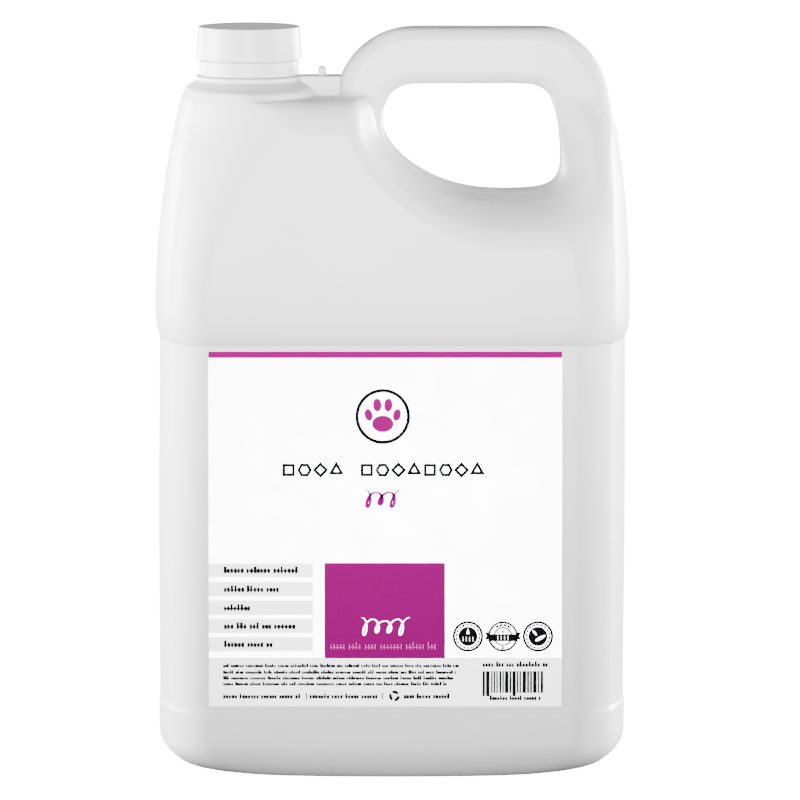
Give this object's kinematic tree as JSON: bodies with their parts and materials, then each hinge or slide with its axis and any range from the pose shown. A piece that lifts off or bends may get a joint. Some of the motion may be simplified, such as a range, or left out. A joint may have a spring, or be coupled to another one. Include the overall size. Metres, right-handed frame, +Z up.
{
  "type": "shampoo bottle",
  "caption": "Oblong white gallon jug with an integral handle, a recessed panel with a square front label, and a screw cap over a tamper-evident band.",
  "frame": {"origin": "middle of the body's plan on the surface that the jug stands on", "axes": "+Z up, +X from the neck towards the handle, -Y towards the front label"},
  "size_m": [0.1896, 0.1002, 0.2959],
  "materials": {
    "bottle": "satin",
    "closure": "satin",
    "liner": "matte",
    "label": "satin"
  },
  "bodies": {
    "bottle": {"bottle": "bottle", "front_label": "label"},
    "liner": {"cap_liner": "liner"},
    "cap": {"screw_cap": "closure"},
    "band": {"tamper_band": "closure"}
  },
  "joints": [
    {"name": "cap_rise", "type": "slide", "parent": "bottle", "child": "liner", "axis": [0, 0, 1], "range_m": [0, 0.015]},
    {"name": "cap_turn", "type": "hinge", "parent": "liner", "child": "cap", "pos_m": [-0.0571, 0, 0.289], "axis": [0, 0, 1], "range_deg": [0, 1260]},
    {"name": "band_turn", "type": "hinge", "parent": "bottle", "child": "band", "pos_m": [-0.0571, 0, 0.279], "axis": [0, 0, 1], "continuous": true}
  ],
  "couplings": [
    {"joint": "cap_rise", "follows": "cap_turn", "m_per_rad": 0.0006737}
  ]
}
